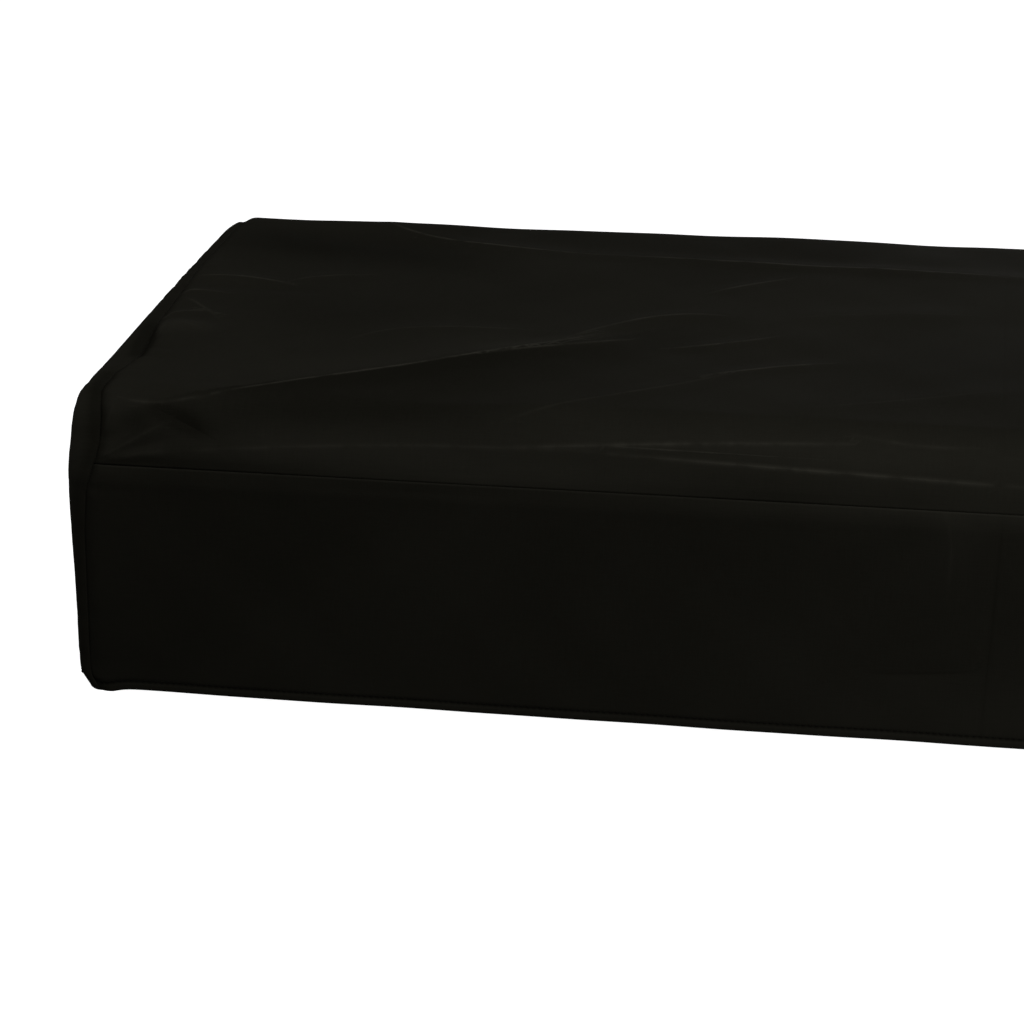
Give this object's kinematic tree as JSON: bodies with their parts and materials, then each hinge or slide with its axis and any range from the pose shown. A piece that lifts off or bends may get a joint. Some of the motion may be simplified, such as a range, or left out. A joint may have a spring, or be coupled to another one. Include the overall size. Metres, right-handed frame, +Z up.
{
  "type": "piano cover",
  "caption": "Fitted black cloth dust cover for a keyboard piano: a flat top with a rounded front shoulder and sewn side walls, open below.",
  "frame": {"origin": "on the underside of the top panel, at its middle, where the cover rests on the piano", "axes": "+X along the cover, +Y from front to back, +Z up"},
  "size_m": [1.3752, 0.3521, 0.1536],
  "materials": {
    "black_cloth": "matt plain weave"
  },
  "bodies": {
    "root": {"top_panel": "black_cloth", "front_panel": "black_cloth", "back_panel": "black_cloth", "left_end_panel": "black_cloth", "right_end_panel": "black_cloth"}
  },
  "joints": []
}
